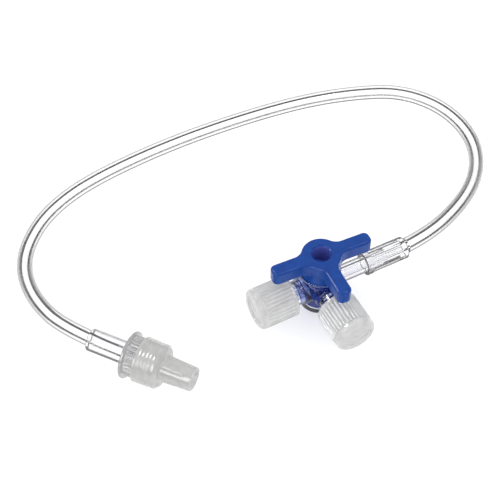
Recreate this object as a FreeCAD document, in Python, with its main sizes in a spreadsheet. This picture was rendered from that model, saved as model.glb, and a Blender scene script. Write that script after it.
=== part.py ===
import FreeCAD, Part
import math
import os
import re

import Sketcher

# Three way stopcock with two capped luer ports, a tap and an extension tube with a capped male connector.
# Millimetres, +Z up. The origin is on the tap's axis at the level of the table.
# Pieces that lie along a port are drawn along their own X axis, which starts at the tap's axis.
# Pieces of the far connector are drawn along their own X axis, which starts at its tube socket's mouth.

# Driving sizes: name, value, meaning
SIZES = [
    ("port_height", 6.2, "port axes above the table"),
    ("bond_gap", 0.05, "radial gap of glued and seated joints"),
    ("turn_gap", 0.06, "radial gap of the collar on its neck"),
    ("core_gap", 0.03, "radial running gap of the tap's core"),
    ("seat_gap", 0.05, "gap between end faces that seat on each other"),
    ("small_round", 0.25, "rounding of small moulded edges"),
    ("flow_radius", 1.2, "radius of the fluid passages"),
    ("luer_slope", 0.03, "fall of a luer cone's radius per millimetre"),
    # Barrel
    ("barrel_radius", 4.55, "outside of the barrel's wall"),
    ("barrel_height", 11.7, "top face of the barrel"),
    ("foot_radius", 4.95, "thick bottom rim"),
    ("foot_height", 1.8, "height of the bottom rim"),
    ("rim_radius", 5.25, "top rim under the hub"),
    ("rim_height", 0.9, "height of the top rim"),
    ("bead_radius", 4.95, "ring below the top rim"),
    ("bead_height", 0.6, "height of that ring"),
    ("bead_drop", 0.9, "space between the ring and the top rim"),
    ("snap_room_radius", 3.95, "recess in the foot for the core's snap ring"),
    ("snap_room_height", 1.3, "height of that recess"),
    # Luer ports
    ("port_mouth", 16.6, "tap axis to the mouth of a luer port"),
    ("port_radius", 3.2, "outside of a luer port"),
    ("port_root_radius", 3.7, "thicker root of a port at the barrel"),
    ("port_root_length", 5.6, "tap axis to the end of that root"),
    ("lug_radius", 3.88, "outside of the locking lugs"),
    ("lug_width", 1.6, "length of a lug along the port"),
    ("lug_angle", 96.0, "degrees round the port that a lug takes"),
    ("luer_mouth_radius", 2.15, "luer cone at a port's mouth"),
    ("luer_depth", 8.0, "depth of the luer cone"),
    # Outlet
    ("spigot_radius", 2.25, "outside of the outlet spigot"),
    ("spigot_end", 17.8, "tap axis to the end of the spigot"),
    # Tap
    ("core_top_radius", 3.45, "core where it leaves the barrel"),
    ("core_foot_radius", 3.1, "core at the snap ring"),
    ("core_lift", 0.3, "underside of the core above the table"),
    ("snap_lip", 0.4, "how far the snap ring stands out"),
    ("hub_radius", 4.98, "hub of the handle"),
    ("skirt_radius", 4.92, "lower part of the hub"),
    ("hub_gap", 0.1, "running gap between the hub and the barrel's rim"),
    ("handle_height", 18.1, "top of the handle"),
    ("handle_turn", -2.8, "degrees that the handle stands off the ports"),
    ("arm_reach", 13.4, "tap axis to the end of an arm"),
    ("arm_width", 3.65, "width of an arm"),
    ("arm_depth", 3.9, "depth of an arm"),
    ("arm_corner", 1.4, "round corners at an arm's end, seen from above"),
    ("web_radius", 3.2, "hollow corners between the hub and the arms"),
    ("top_round", 0.6, "rounding of the handle's upper edges"),
    ("under_round", 0.4, "rounding of the handle's lower edges"),
    ("recess_radius", 2.3, "round recess in the hub"),
    ("recess_depth", 5.2, "depth of that recess"),
    ("recess_lip", 0.45, "rounding of the recess's edge"),
    # Port caps
    ("cap_start", 8.4, "tap axis to the open end of a port cap"),
    ("cap_end", 18.5, "tap axis to the closed end of a port cap"),
    ("cap_radius", 5.32, "outside of a port cap"),
    ("cap_bore", 4.1, "bore of a port cap, over the lugs"),
    ("cap_round", 0.9, "rounding of the closed end"),
    ("cap_lip", 0.3, "rounding of the open end"),
    ("cap_dish_radius", 3.7, "recess in the closed end"),
    ("cap_dish_depth", 0.45, "depth of that recess"),
    ("cap_pin_length", 5.5, "sealing pin inside the port"),
    ("cap_flutes", 36, "grip flutes round a port cap"),
    ("flute_radius", 0.5, "section of a grip flute"),
    ("flute_depth", 0.22, "depth of a grip flute"),
    ("cap_band", 1.5, "plain band beside the closed end"),
    # Tube and its adapter
    ("tube_radius", 2.05, "outside of the extension tube"),
    ("tube_bore", 0.8, "bore of the extension tube"),
    ("adapter_start", 12.9, "tap axis to the near end of the adapter"),
    ("adapter_end", 24.9, "tap axis to the tube end of the adapter"),
    ("adapter_radius", 2.95, "outside of the fluted sleeve"),
    ("adapter_ring_radius", 3.1, "ring at the near end"),
    ("adapter_ring_width", 1.5, "width of that ring"),
    ("adapter_web", 1.2, "wall between the spigot and the tube"),
    ("adapter_flutes", 10, "flutes round the sleeve"),
    ("adapter_flute_radius", 0.9, "section of a sleeve flute"),
    ("adapter_flute_depth", 0.22, "depth of a sleeve flute"),
    ("adapter_band", 1.3, "plain rim at the tube end"),
    ("adapter_round", 0.2, "rounding of the sleeve's two ends"),
    # Far connector
    ("far_x", -57.8, "mouth of the far tube socket"),
    ("far_y", 11.0, "mouth of the far tube socket"),
    ("far_heading", -52.1, "degrees from +X to the far connector's axis"),
    ("socket_radius", 2.88, "outside of the far tube socket"),
    ("socket_round", 0.55, "rounded shoulder at the socket's mouth"),
    ("socket_depth", 8.0, "how far the tube goes in"),
    ("bead_rise", 0.14, "height of the bead behind the collar"),
    ("bead_width", 0.5, "width of the bead behind the collar"),
    ("shoulder_radius", 3.75, "shoulder that the collar pulls on"),
    ("shoulder_width", 1.1, "width of that shoulder"),
    ("male_tip", 23.6, "socket mouth to the tip of the male cone"),
    ("male_tip_radius", 1.98, "male luer cone at its tip"),
    # Lock collar
    ("collar_start", 10.7, "socket mouth to the back of the collar"),
    ("collar_length", 8.5, "length of the collar"),
    ("collar_back", 1.2, "rear wall of the collar"),
    ("flange_radius", 6.0, "rear flange of the collar"),
    ("flange_width", 0.75, "width of the rear flange"),
    ("collar_radius", 5.1, "outside of the ribbed part"),
    ("collar_thread", 4.1, "inside of the collar, over the other half's lugs"),
    ("collar_flutes", 30, "flutes round the collar"),
    ("collar_flute_radius", 0.42, "section of a collar flute"),
    ("collar_flute_depth", 0.24, "depth of a collar flute"),
    ("collar_step", 0.1, "plain step between the flange and the flutes"),
    # Cap of the male connector
    ("over_start", 14.0, "socket mouth to the open end of the luer cap"),
    ("over_bore", 5.2, "inside of the skirt, over the collar"),
    ("over_radius", 5.8, "outside of the skirt at its open end"),
    ("over_draft", 0.22, "how much narrower the skirt is at its shoulder"),
    ("over_wall", 1.0, "wall of the shoulder"),
    ("over_chamfer", 0.8, "slope between the skirt and the shoulder"),
    ("nose_root_radius", 3.4, "nose at the shoulder"),
    ("nose_tip_radius", 3.0, "nose at its tip"),
    ("nose_bore", 2.3, "bore of the nose"),
    ("over_end", 28.2, "socket mouth to the tip of the nose"),
    ("ring_count", 5, "grip rings round the skirt"),
    ("ring_pitch", 0.92, "spacing of the grip rings"),
    ("ring_depth", 0.16, "depth of the grooves between them"),
    ("ring_first", 0.75, "open end to the first groove"),
    ("nose_flutes", 6, "flutes round the nose"),
    ("nose_flute_radius", 0.75, "section of a nose flute"),
    ("nose_flute_depth", 0.35, "depth of a nose flute at the shoulder"),
    ("nose_band", 1.7, "plain band at the nose's tip"),
]

# The tube's route between its sockets: rounded places, settled by hand against the photograph
FIRST_RUN = 12.3
LAST_RUN = 15.0
ROUTE = [
    (48.5, 7.0, 4.6),
    (60.0, 16.5, 2.7),
    (66.0, 28.5, 2.05),
    (65.0, 42.0, 2.05),
    (57.5, 53.0, 2.05),
    (45.5, 58.5, 2.05),
    (30.5, 62.5, 2.05),
    (11.5, 64.5, 2.05),
    (-9.0, 65.0, 2.05),
    (-29.0, 63.5, 2.05),
    (-43.5, 60.5, 2.05),
    (-55.0, 54.5, 2.05),
    (-63.5, 44.0, 2.3),
    (-65.5, 30.5, 4.2),
]
ARC_SHARE = 0.45

os.makedirs("parts", exist_ok=True)
doc = FreeCAD.newDocument("Stopcock")
Vector = FreeCAD.Vector

# Spreadsheet of the driving sizes
sheet = doc.addObject("Spreadsheet::Sheet", "Sizes")
for row, (alias, value, meaning) in enumerate(SIZES, start=1):
    sheet.set("A%d" % row, alias)
    sheet.set("B%d" % row, repr(value))
    sheet.set("C%d" % row, meaning)
    sheet.setAlias("B%d" % row, alias)
doc.recompute()
ALIASES = {alias for alias, _, _ in SIZES}


def bound(words):
    """Turns size names in an expression into references to the sheet."""
    return re.sub(r"[a-z_]+", lambda m: "Sizes." + m[0] if m[0] in ALIASES else m[0], words)


def worth(words):
    """Gives the number that an expression in size names comes to."""
    return float(sheet.evalExpression(bound(words)))


def origin_part(body, role):
    """Finds one of a body's own origin planes or axes."""
    return next(part for part in body.Origin.OriginFeatures if part.Role == role)


def new_body(name, label):
    """Starts a body whose label names its file."""
    body = doc.addObject("PartDesign::Body", name)
    body.Label = label
    return body


def new_sketch(body, name, role, rise=None, away=None):
    """Puts a sketch on an origin plane, raised in the plane's own Y or moved along its normal."""
    sketch = body.newObject("Sketcher::SketchObject", name)
    sketch.AttachmentSupport = [(origin_part(body, role), "")]
    sketch.MapMode = "FlatFace"
    if rise:
        sketch.setExpression("AttachmentOffset.Base.y", bound(rise))
    if away:
        sketch.setExpression("AttachmentOffset.Base.z", bound(away))
    doc.recompute()
    return sketch


def draw_outline(sketch, corners):
    """Draws a closed outline of straight lines, each corner bound to two size expressions."""
    places = [Vector(worth(x), worth(y), 0) for x, y in corners]
    count = len(places)
    for i in range(count):
        sketch.addGeometry(Part.LineSegment(places[i], places[(i + 1) % count]), False)
    for i in range(count):
        sketch.addConstraint(Sketcher.Constraint("Coincident", i, 2, (i + 1) % count, 1))
    for i, (x, y) in enumerate(corners):
        for kind, words, number in (("DistanceX", x, places[i].x), ("DistanceY", y, places[i].y)):
            index = sketch.addConstraint(Sketcher.Constraint(kind, -1, 1, i, 1, number))
            sketch.setExpression("Constraints[%d]" % index, bound(words))


def draw_circle(sketch, x, y, radius):
    """Draws a circle whose centre and radius are bound to size expressions."""
    sketch.addGeometry(Part.Circle(Vector(worth(x), worth(y), 0), Vector(0, 0, 1), worth(radius)), False)
    for kind, words in (("DistanceX", x), ("DistanceY", y)):
        index = sketch.addConstraint(Sketcher.Constraint(kind, -1, 1, 0, 3, worth(words)))
        sketch.setExpression("Constraints[%d]" % index, bound(words))
    index = sketch.addConstraint(Sketcher.Constraint("Radius", 0, worth(radius)))
    sketch.setExpression("Constraints[%d]" % index, bound(radius))


def turned(body, name, role, axis, corners, kind="Revolution", rise=None):
    """Turns an outline round an axis of its sketch, as material or as a groove."""
    sketch = new_sketch(body, name + "Outline", role, rise=rise)
    draw_outline(sketch, corners)
    feature = body.newObject("PartDesign::" + kind, name)
    feature.Profile = sketch
    feature.ReferenceAxis = (sketch, [axis])
    feature.Angle = 360
    doc.recompute()
    return feature


def pushed(body, name, sketch, length, kind="Pocket", reverse=False, midplane=False):
    """Pads or pockets a sketch by a length in size names, and checks that the volume follows."""
    before = body.Shape.Volume if body.Tip else 0.0
    feature = body.newObject("PartDesign::" + kind, name)
    feature.Profile = sketch
    feature.setExpression("Length", bound(length))
    feature.Reversed = reverse
    feature.Midplane = midplane
    doc.recompute()
    change = body.Shape.Volume - before
    if (kind == "Pocket") == (change > -1e-6):
        raise ValueError("%s changed the volume by %.4f" % (name, change))
    return feature


def repeated(body, name, feature, axis, count, angle="360"):
    """Repeats a feature round an origin axis of the body."""
    pattern = body.newObject("PartDesign::PolarPattern", name)
    pattern.Originals = [feature]
    pattern.Axis = (origin_part(body, axis), [""])
    pattern.setExpression("Angle", bound(angle))
    pattern.setExpression("Occurrences", bound(count))
    body.Tip = pattern
    doc.recompute()
    return pattern


def eased(body, name, radius, wanted, kind="Fillet"):
    """Rounds or chamfers the edges of the newest shape that a test picks."""
    base = body.Tip
    edges = ["Edge%d" % i for i, edge in enumerate(base.Shape.Edges, start=1) if wanted(edge)]
    feature = body.newObject("PartDesign::" + kind, name)
    feature.Base = (base, edges)
    feature.setExpression("Radius" if kind == "Fillet" else "Size", bound(radius))
    doc.recompute()
    if not edges or "Invalid" in feature.State or not feature.Shape.isValid():
        raise ValueError("%s failed on %d edges" % (name, len(edges)))
    return feature


def is_ring(edge, axis, place, radius):
    """Tells whether an edge is a full circle round the body's X or Z axis at a place and radius."""
    if edge.Curve.TypeId != "Part::GeomCircle" or edge.Length < 0.99 * 2 * math.pi * edge.Curve.Radius:
        return False
    along = edge.Curve.Center.x if axis == "X" else edge.Curve.Center.z
    return abs(along - worth(place)) < 1e-4 and abs(edge.Curve.Radius - worth(radius)) < 1e-4


def fluted(body, name, start, length, radius, section, depth, count):
    """Cuts straight flutes of round section along X and repeats them round it."""
    sketch = new_sketch(body, name + "Section", "YZ_Plane", away=start)
    draw_circle(sketch, "0", "%s + %s - %s" % (radius, section, depth), section)
    flute = pushed(body, name, sketch, length, reverse=True)
    return repeated(body, name + "Round", flute, "X_Axis", count)


def at_port(body, heading):
    """Points a piece along a port: X outwards from the tap's axis."""
    body.Placement = FreeCAD.Placement(Vector(0, 0, worth("port_height")),
                                       FreeCAD.Rotation(Vector(0, 0, 1), heading))
    body.setExpression("Placement.Base.z", bound("port_height"))


def at_far_end(body):
    """Lays a piece of the far connector on the table, its flange touching it."""
    body.Placement = FreeCAD.Placement(Vector(worth("far_x"), worth("far_y"), worth("flange_radius")),
                                       FreeCAD.Rotation(Vector(0, 0, 1), worth("far_heading")))
    body.setExpression("Placement.Base.x", bound("far_x"))
    body.setExpression("Placement.Base.y", bound("far_y"))
    body.setExpression("Placement.Base.z", bound("flange_radius"))
    body.setExpression("Placement.Rotation.Angle", bound("far_heading"))


# Stopcock body: barrel, two luer ports and the outlet spigot in one moulding
def make_stopcock_body():
    body = new_body("StopcockBody", "stopcock_body")
    turned(body, "Barrel", "XZ_Plane", "V_Axis", [
        ("0", "0"),
        ("foot_radius", "0"),
        ("foot_radius", "foot_height"),
        ("barrel_radius", "foot_height"),
        ("barrel_radius", "barrel_height - rim_height - bead_drop - bead_height"),
        ("bead_radius", "barrel_height - rim_height - bead_drop - bead_height"),
        ("bead_radius", "barrel_height - rim_height - bead_drop"),
        ("barrel_radius", "barrel_height - rim_height - bead_drop"),
        ("barrel_radius", "barrel_height - rim_height"),
        ("rim_radius", "barrel_height - rim_height"),
        ("rim_radius", "barrel_height"),
        ("0", "barrel_height"),
    ])
    for name, role in (("Inline", "XZ_Plane"), ("Side", "YZ_Plane")):
        turned(body, name + "Port", role, "H_Axis", [
            ("0", "0"),
            ("-port_mouth", "0"),
            ("-port_mouth", "port_radius"),
            ("-port_root_length", "port_radius"),
            ("-port_root_length", "port_root_radius"),
            ("0", "port_root_radius"),
        ], rise="port_height")
        for half, side in (("Upper", 1), ("Lower", -1)):
            lug = turned(body, name + half + "Lug", role, "H_Axis", [
                ("-port_mouth", "%d * port_radius / 2" % side),
                ("-port_mouth", "%d * lug_radius" % side),
                ("-port_mouth + lug_width", "%d * lug_radius" % side),
                ("-port_mouth + lug_width", "%d * port_radius / 2" % side),
            ], rise="port_height")
            lug.setExpression("Angle", bound("lug_angle"))
            lug.Midplane = True
    turned(body, "Outlet", "XZ_Plane", "H_Axis", [
        ("0", "0"),
        ("spigot_end", "0"),
        ("spigot_end", "spigot_radius"),
        ("0", "spigot_radius"),
    ], rise="port_height")
    turned(body, "TapBore", "XZ_Plane", "V_Axis", [
        ("0", "0"),
        ("snap_room_radius", "0"),
        ("snap_room_radius", "snap_room_height"),
        ("core_foot_radius + core_gap", "snap_room_height"),
        ("core_top_radius + core_gap", "barrel_height"),
        ("0", "barrel_height"),
    ], kind="Groove")
    for name, role in (("Inline", "XZ_Plane"), ("Side", "YZ_Plane")):
        turned(body, name + "Luer", role, "H_Axis", [
            ("0", "0"),
            ("-port_mouth", "0"),
            ("-port_mouth", "luer_mouth_radius"),
            ("-port_mouth + luer_depth", "luer_mouth_radius - luer_slope * luer_depth"),
            ("-port_mouth + luer_depth", "flow_radius"),
            ("0", "flow_radius"),
        ], kind="Groove", rise="port_height")
    turned(body, "OutletBore", "XZ_Plane", "H_Axis", [
        ("0", "0"),
        ("spigot_end", "0"),
        ("spigot_end", "flow_radius"),
        ("0", "flow_radius"),
    ], kind="Groove", rise="port_height")
    eased(body, "RimRound", "small_round", lambda edge: is_ring(edge, "Z", "barrel_height", "rim_radius")
          or is_ring(edge, "Z", "0", "foot_radius"))
    return body


# Tap: core, hub and three arms in one moulding
def make_tap_handle():
    body = new_body("TapHandle", "tap_handle")
    under = "handle_height - arm_depth"
    disc = new_sketch(body, "HubCircle", "XY_Plane", away=under)
    draw_circle(disc, "0", "0", "hub_radius")
    pushed(body, "Hub", disc, "arm_depth", kind="Pad")
    plan = new_sketch(body, "ArmPlan", "XY_Plane", away=under)
    draw_outline(plan, [
        ("0", "-arm_width / 2"),
        ("arm_reach", "-arm_width / 2"),
        ("arm_reach", "arm_width / 2"),
        ("0", "arm_width / 2"),
    ])
    arm = pushed(body, "Arm", plan, "arm_depth", kind="Pad")
    arms = repeated(body, "ThreeArms", arm, "Z_Axis", "3", angle="180")
    arms.Reversed = True
    doc.recompute()

    def upright(edge):
        """Tells whether an edge is one of the outline's vertical corners."""
        straight = edge.Curve.TypeId == "Part::GeomLine"
        return straight and abs(edge.BoundBox.ZLength - worth("arm_depth")) < 1e-4

    def reach(edge):
        """Gives the distance of an edge's middle from the tap's axis."""
        return math.hypot(edge.CenterOfMass.x, edge.CenterOfMass.y)

    def at_level(edge, level):
        """Tells whether an edge lies flat at a level."""
        return abs(edge.BoundBox.ZMin - worth(level)) < 1e-4 and edge.BoundBox.ZLength < 1e-4

    eased(body, "ArmCorners", "arm_corner", lambda edge: upright(edge) and reach(edge) > worth("arm_reach"))
    eased(body, "ArmWebs", "web_radius",
          lambda edge: upright(edge) and abs(reach(edge) - worth("hub_radius")) < 0.01)
    eased(body, "TopEdges", "top_round", lambda edge: at_level(edge, "handle_height"))
    eased(body, "UnderEdges", "under_round", lambda edge: at_level(edge, under))
    turned(body, "CoreAndSkirt", "XZ_Plane", "V_Axis", [
        ("0", "core_lift"),
        ("core_foot_radius", "core_lift"),
        ("core_foot_radius + snap_lip", "core_lift + snap_lip"),
        ("core_foot_radius + snap_lip", "snap_room_height - seat_gap"),
        ("core_foot_radius", "snap_room_height - seat_gap"),
        ("core_top_radius", "barrel_height"),
        ("core_top_radius", "barrel_height + hub_gap"),
        ("skirt_radius", "barrel_height + hub_gap"),
        ("skirt_radius", "handle_height - arm_depth / 2"),
        ("0", "handle_height - arm_depth / 2"),
    ])
    recess = new_sketch(body, "RecessCircle", "XY_Plane", away="handle_height")
    draw_circle(recess, "0", "0", "recess_radius")
    pushed(body, "Recess", recess, "recess_depth")
    eased(body, "RecessEdge", "recess_lip",
          lambda edge: is_ring(edge, "Z", "handle_height", "recess_radius"))
    through = new_sketch(body, "ThroughHole", "YZ_Plane")
    draw_circle(through, "0", "port_height", "flow_radius")
    pushed(body, "ThroughPassage", through, "2 * core_top_radius + 2 * snap_lip", midplane=True)
    branch = new_sketch(body, "BranchHole", "XZ_Plane")
    draw_circle(branch, "0", "port_height", "flow_radius")
    pushed(body, "BranchPassage", branch, "core_top_radius + snap_lip", reverse=True)
    body.Placement = FreeCAD.Placement(Vector(0, 0, 0),
                                       FreeCAD.Rotation(Vector(0, 0, 1), worth("handle_turn")))
    body.setExpression("Placement.Rotation.Angle", bound("handle_turn"))
    return body


# Cap of a luer port: fluted cup with a sealing pin in the middle
def make_port_cap(name, label, heading):
    body = new_body(name, label)
    floor = "port_mouth + seat_gap"
    pin = "luer_mouth_radius - bond_gap"
    turned(body, "Cup", "XZ_Plane", "H_Axis", [
        ("%s - cap_pin_length" % floor, "0"),
        ("cap_end - cap_dish_depth", "0"),
        ("cap_end - cap_dish_depth", "cap_dish_radius"),
        ("cap_end", "cap_dish_radius"),
        ("cap_end", "cap_radius"),
        ("cap_start", "cap_radius"),
        ("cap_start", "cap_bore"),
        (floor, "cap_bore"),
        (floor, pin),
        ("%s - cap_pin_length" % floor, "%s - luer_slope * cap_pin_length" % pin),
    ])
    eased(body, "ClosedEnd", "cap_round", lambda edge: is_ring(edge, "X", "cap_end", "cap_radius"))
    eased(body, "OpenEnd", "cap_lip", lambda edge: is_ring(edge, "X", "cap_start", "cap_radius"))
    fluted(body, "Flute", "cap_start - cap_lip", "cap_end - cap_start - cap_band + cap_lip", "cap_radius",
           "flute_radius", "flute_depth", "cap_flutes")
    at_port(body, heading)
    return body


# Adapter: fluted sleeve that joins the tube to the outlet spigot
def make_tube_adapter():
    body = new_body("TubeAdapter", "tube_adapter")
    stop = "spigot_end + seat_gap"
    turned(body, "Sleeve", "XZ_Plane", "H_Axis", [
        ("adapter_start", "spigot_radius + bond_gap"),
        ("adapter_start", "adapter_ring_radius"),
        ("adapter_start + adapter_ring_width", "adapter_ring_radius"),
        ("adapter_start + adapter_ring_width", "adapter_radius"),
        ("adapter_end", "adapter_radius"),
        ("adapter_end", "tube_radius + bond_gap"),
        ("%s + adapter_web" % stop, "tube_radius + bond_gap"),
        ("%s + adapter_web" % stop, "flow_radius"),
        (stop, "flow_radius"),
        (stop, "spigot_radius + bond_gap"),
    ])
    fluted(body, "SleeveFlute", "adapter_start + adapter_ring_width",
           "adapter_end - adapter_start - adapter_ring_width - adapter_band", "adapter_radius",
           "adapter_flute_radius", "adapter_flute_depth", "adapter_flutes")
    eased(body, "SleeveEdges", "adapter_round",
          lambda edge: is_ring(edge, "X", "adapter_end", "adapter_radius")
          or is_ring(edge, "X", "adapter_start", "adapter_ring_radius"))
    at_port(body, 0)
    return body


# Far connector: tube socket, shoulder for the collar and male luer cone
def make_male_connector():
    body = new_body("MaleConnector", "male_luer_connector")
    front = "collar_start + collar_back + seat_gap"
    back = "collar_start - seat_gap"
    cone_length = "male_tip - collar_start - collar_back - seat_gap - shoulder_width"
    turned(body, "SocketAndCone", "XZ_Plane", "H_Axis", [
        ("0", "tube_radius + bond_gap"),
        ("0", "socket_radius"),
        ("%s - bead_width" % back, "socket_radius"),
        ("%s - bead_width / 2" % back, "socket_radius + bead_rise"),
        (back, "socket_radius"),
        (front, "socket_radius"),
        (front, "shoulder_radius"),
        ("%s + shoulder_width" % front, "shoulder_radius"),
        ("%s + shoulder_width" % front, "male_tip_radius + luer_slope * (%s)" % cone_length),
        ("male_tip", "male_tip_radius"),
        ("male_tip", "flow_radius"),
        ("socket_depth", "flow_radius"),
        ("socket_depth", "tube_radius + bond_gap"),
    ])
    eased(body, "SocketMouth", "socket_round", lambda edge: is_ring(edge, "X", "0", "socket_radius"))
    eased(body, "ConeTip", "small_round", lambda edge: is_ring(edge, "X", "male_tip", "male_tip_radius"))
    at_far_end(body)
    return body


# Lock collar: turns on the far connector's neck
def make_lock_collar():
    body = new_body("LockCollar", "lock_collar")
    hole = "socket_radius + turn_gap"
    turned(body, "Nut", "XZ_Plane", "H_Axis", [
        ("collar_start", hole),
        ("collar_start", "flange_radius"),
        ("collar_start + flange_width", "flange_radius"),
        ("collar_start + flange_width", "collar_radius"),
        ("collar_start + collar_length", "collar_radius"),
        ("collar_start + collar_length", "collar_thread"),
        ("collar_start + collar_back", "collar_thread"),
        ("collar_start + collar_back", hole),
    ])
    fluted(body, "CollarFlute", "collar_start + flange_width + collar_step", "collar_length",
           "collar_radius", "collar_flute_radius", "collar_flute_depth", "collar_flutes")
    eased(body, "FlangeEdges", "small_round",
          lambda edge: edge.Curve.TypeId == "Part::GeomCircle"
          and abs(edge.Curve.Radius - worth("flange_radius")) < 1e-4)
    at_far_end(body)
    return body


# Luer cap: stepped cap over the collar and the male cone
def make_luer_cap():
    body = new_body("LuerCap", "luer_cap")
    inside = "collar_start + collar_length + seat_gap"
    shoulder = inside + " + over_wall"
    turned(body, "Skirt", "XZ_Plane", "H_Axis", [
        ("over_start", "over_bore"),
        ("over_start", "over_radius"),
        ("%s - over_chamfer" % shoulder, "over_radius - over_draft"),
        (shoulder, "over_radius - over_draft - over_chamfer"),
        (shoulder, "nose_root_radius"),
        ("over_end", "nose_tip_radius"),
        ("over_end", "nose_bore"),
        (inside, "nose_bore"),
        (inside, "over_bore"),
    ])
    groove = turned(body, "RingGroove", "XZ_Plane", "H_Axis", [
        ("over_start + ring_first", "over_radius - ring_depth"),
        ("over_start + ring_first + ring_pitch / 2", "over_radius + ring_depth"),
        ("over_start + ring_first - ring_pitch / 2", "over_radius + ring_depth"),
    ], kind="Groove")
    rings = body.newObject("PartDesign::LinearPattern", "GripRings")
    rings.Originals = [groove]
    rings.Direction = (origin_part(body, "X_Axis"), [""])
    rings.setExpression("Length", bound("ring_pitch * (ring_count - 1)"))
    rings.setExpression("Occurrences", bound("ring_count"))
    body.Tip = rings
    doc.recompute()
    fluted(body, "NoseFlute", shoulder, "over_end - nose_band - (%s)" % shoulder, "nose_root_radius",
           "nose_flute_radius", "nose_flute_depth", "nose_flutes")
    eased(body, "NoseTip", "small_round", lambda edge: is_ring(edge, "X", "over_end", "nose_tip_radius"))
    at_far_end(body)
    return body


# Extension tube: straight runs joined by tangent arcs
def tube_points():
    """Gives the route from the adapter's stop to the far socket's stop."""
    level = worth("port_height")
    start = worth("spigot_end + seat_gap + adapter_web")
    heading = math.radians(worth("far_heading"))
    along = Vector(math.cos(heading), math.sin(heading), 0)
    far_end = Vector(worth("far_x"), worth("far_y"), worth("flange_radius")) + along * worth("socket_depth")
    near = [Vector(start, 0, level), Vector(start + FIRST_RUN, 0, level)]
    far = [far_end - along * LAST_RUN, far_end]
    return near + [Vector(*place) for place in ROUTE] + far


def route_wire(points):
    """Joins the runs by arcs as large as they allow, and prints each arc's radius."""
    edges = []
    radii = []
    last = points[0]
    for before, corner, after in zip(points, points[1:], points[2:]):
        arriving = (corner - before).normalize()
        leaving = (after - corner).normalize()
        turn = arriving.getAngle(leaving)
        setback = ARC_SHARE * min(corner.distanceToPoint(before), corner.distanceToPoint(after))
        radius = setback / math.tan(turn / 2)
        radii.append(round(radius, 1))
        begin = corner - arriving * setback
        end = corner + leaving * setback
        inward = (leaving - arriving).normalize()
        middle = corner + inward * (radius / math.cos(turn / 2) - radius)
        edges.append(Part.LineSegment(last, begin).toShape())
        edges.append(Part.Arc(begin, middle, end).toShape())
        last = end
    edges.append(Part.LineSegment(last, points[-1]).toShape())
    print("tube arc radii", radii)
    return Part.Wire(edges)


def make_extension_tube():
    points = tube_points()
    wire = route_wire(points)
    route = doc.addObject("Part::Feature", "TubeRoute")
    route.Shape = wire
    sweeps = []
    facing = FreeCAD.Rotation(Vector(0, 0, 1), points[1] - points[0])
    for name, radius in (("TubeOutside", "tube_radius"), ("TubeBore", "tube_bore")):
        ring = doc.addObject("Part::Circle", name + "Ring")
        ring.setExpression("Radius", bound(radius))
        ring.Placement = FreeCAD.Placement(points[0], facing)
        sweep = doc.addObject("Part::Sweep", name)
        sweep.Sections = [ring]
        sweep.Spine = (route, ["Edge%d" % i for i in range(1, len(wire.Edges) + 1)])
        sweep.Solid = True
        sweeps.append(sweep)
    tube = doc.addObject("Part::Cut", "ExtensionTube")
    tube.Base, tube.Tool = sweeps
    tube.Label = "extension_tube"
    doc.recompute()
    section = math.pi * (worth("tube_radius") ** 2 - worth("tube_bore") ** 2)
    print("tube length %.2f" % wire.Length, "volume over section times length %.5f"
          % (tube.Shape.Volume / (section * wire.Length)))
    return tube


NODES = [
    make_stopcock_body(),
    make_tap_handle(),
    make_port_cap("InlinePortCap", "inline_port_cap", 180),
    make_port_cap("SidePortCap", "side_port_cap", -90),
    make_tube_adapter(),
    make_extension_tube(),
    make_male_connector(),
    make_lock_collar(),
    make_luer_cap(),
]
doc.recompute()

# Every object is checked before anything is written
for item in doc.Objects:
    if "Invalid" in item.State or "Error" in item.State:
        raise ValueError("%s failed: %s" % (item.Name, item.State))
for node in NODES:
    if node.Shape.isNull() or not node.Shape.isValid() or len(node.Shape.Solids) != 1:
        raise ValueError("%s has no single valid solid" % node.Label)
for node in NODES:
    node.Shape.exportStep("parts/%s.step" % node.Label)
    box = node.Shape.BoundBox
    print("%-20s volume %8.2f  x %7.2f %7.2f  y %7.2f %7.2f  z %6.2f %6.2f" % (
        node.Label, node.Shape.Volume, box.XMin, box.XMax, box.YMin, box.YMax, box.ZMin, box.ZMax))
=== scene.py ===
import logging
import math
from collections.abc import Callable
from dataclasses import dataclass, replace
from enum import Enum

import bmesh
import bpy
from bpy.types import ID, Material, Mesh, Node, NodeTree, Object
from mathutils import Matrix, Vector


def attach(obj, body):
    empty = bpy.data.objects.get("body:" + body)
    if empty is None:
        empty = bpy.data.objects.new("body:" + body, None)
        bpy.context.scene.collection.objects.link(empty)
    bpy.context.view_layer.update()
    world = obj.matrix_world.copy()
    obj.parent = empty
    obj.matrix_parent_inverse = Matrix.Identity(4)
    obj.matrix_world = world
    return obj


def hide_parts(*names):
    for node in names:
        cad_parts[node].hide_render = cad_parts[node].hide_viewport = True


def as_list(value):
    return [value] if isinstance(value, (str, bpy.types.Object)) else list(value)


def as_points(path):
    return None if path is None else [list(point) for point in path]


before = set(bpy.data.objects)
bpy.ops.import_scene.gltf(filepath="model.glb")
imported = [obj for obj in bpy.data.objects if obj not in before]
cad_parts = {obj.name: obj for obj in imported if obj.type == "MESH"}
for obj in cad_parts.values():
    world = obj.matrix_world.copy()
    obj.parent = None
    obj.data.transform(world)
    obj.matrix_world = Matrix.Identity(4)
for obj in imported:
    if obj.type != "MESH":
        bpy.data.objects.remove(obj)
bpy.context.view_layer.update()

# Finishes, fine meshes and a plain studio for a three way stopcock with its extension tube.
# Lengths in the classes are millimetres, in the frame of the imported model. MM turns them into metres.
MM = 0.001
LOG = logging.getLogger("stopcock")
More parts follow.
